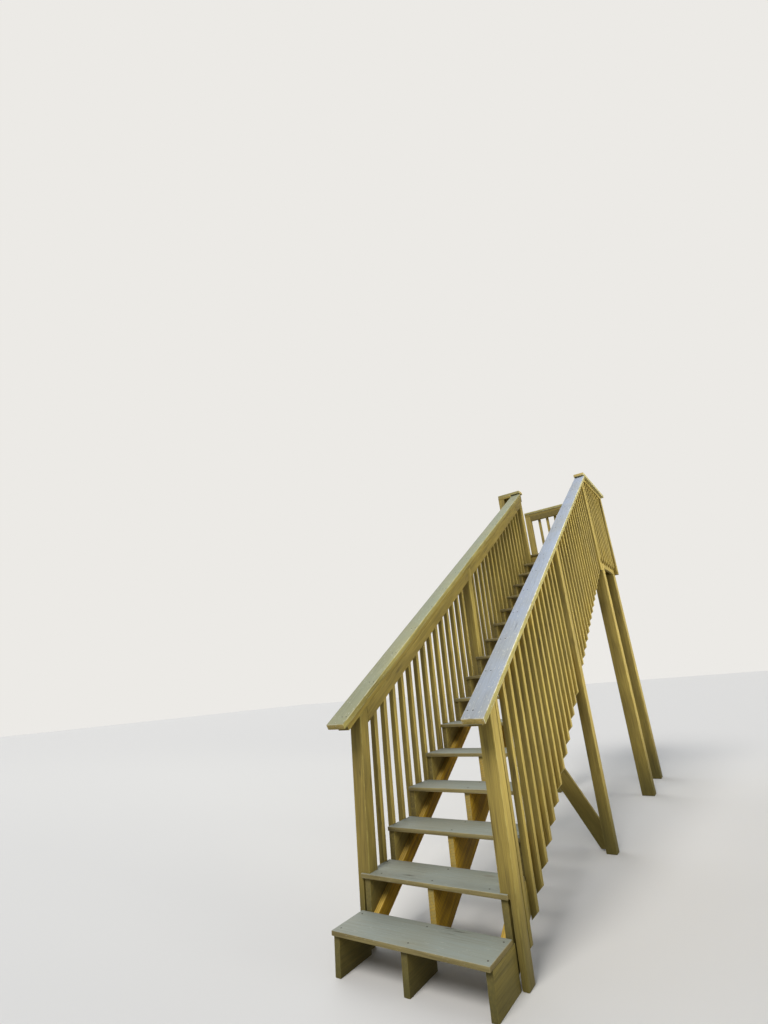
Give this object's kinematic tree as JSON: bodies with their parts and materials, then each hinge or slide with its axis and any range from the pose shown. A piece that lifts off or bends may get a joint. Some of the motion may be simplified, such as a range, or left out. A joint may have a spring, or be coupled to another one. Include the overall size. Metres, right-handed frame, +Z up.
{
  "type": "outdoor deck stairs",
  "caption": "Straight flight of open-riser wooden deck stairs on sawn stringers, with guard rails of plain balusters and a railed landing on posts.",
  "frame": {"origin": "on the ground, under the centre of the stairs' bounding box", "axes": "+X right as seen by someone walking up, +Y up the flight towards the landing, +Z up"},
  "size_m": [1.316, 6.015, 4.1736],
  "materials": {
    "painted_lumber": "weathered olive-tan deck stain, matte",
    "worn_boards": "deck stain worn to grey-green by feet, matte",
    "rail_caps": "deck stain bleached to pale grey by sun and hands, matte",
    "bare_lumber": "bare treated softwood, golden brown"
  },
  "bodies": {
    "root": {"stringer_left": "painted_lumber", "stringer_middle": "bare_lumber", "stringer_right": "painted_lumber", "stringer_sisters": "bare_lumber", "step_blocks": "painted_lumber", "tread_01": "worn_boards", "tread_02": "worn_boards", "tread_03": "worn_boards", "tread_04": "worn_boards", "tread_05": "worn_boards", "tread_06": "worn_boards", "tread_07": "worn_boards", "tread_08": "worn_boards", "tread_09": "worn_boards", "tread_10": "worn_boards", "tread_11": "worn_boards", "tread_12": "worn_boards", "tread_13": "worn_boards", "tread_14": "worn_boards", "tread_15": "worn_boards", "tread_16": "worn_boards", "newel_left": "painted_lumber", "newel_right": "painted_lumber", "middle_post_left": "painted_lumber", "middle_post_right": "painted_lumber", "top_post_left": "painted_lumber", "top_post_right": "painted_lumber", "handrail_cap_left": "rail_caps", "handrail_cap_right": "rail_caps", "sub_rail_left": "painted_lumber", "sub_rail_right": "painted_lumber", "rail_boards_left": "painted_lumber", "rail_boards_right": "painted_lumber", "balusters_left": "painted_lumber", "balusters_right": "painted_lumber", "landing_posts": "painted_lumber", "landing_rims": "painted_lumber", "landing_side_rims": "painted_lumber", "landing_joists": "bare_lumber", "landing_deck": "worn_boards", "guard_posts": "painted_lumber", "guard_boards": "painted_lumber", "guard_sub_rail_sides": "painted_lumber", "guard_sub_rail_back": "painted_lumber", "guard_cap_sides": "rail_caps", "guard_cap_back": "rail_caps", "guard_balusters": "painted_lumber", "middle_brace": "painted_lumber"}
  },
  "joints": []
}
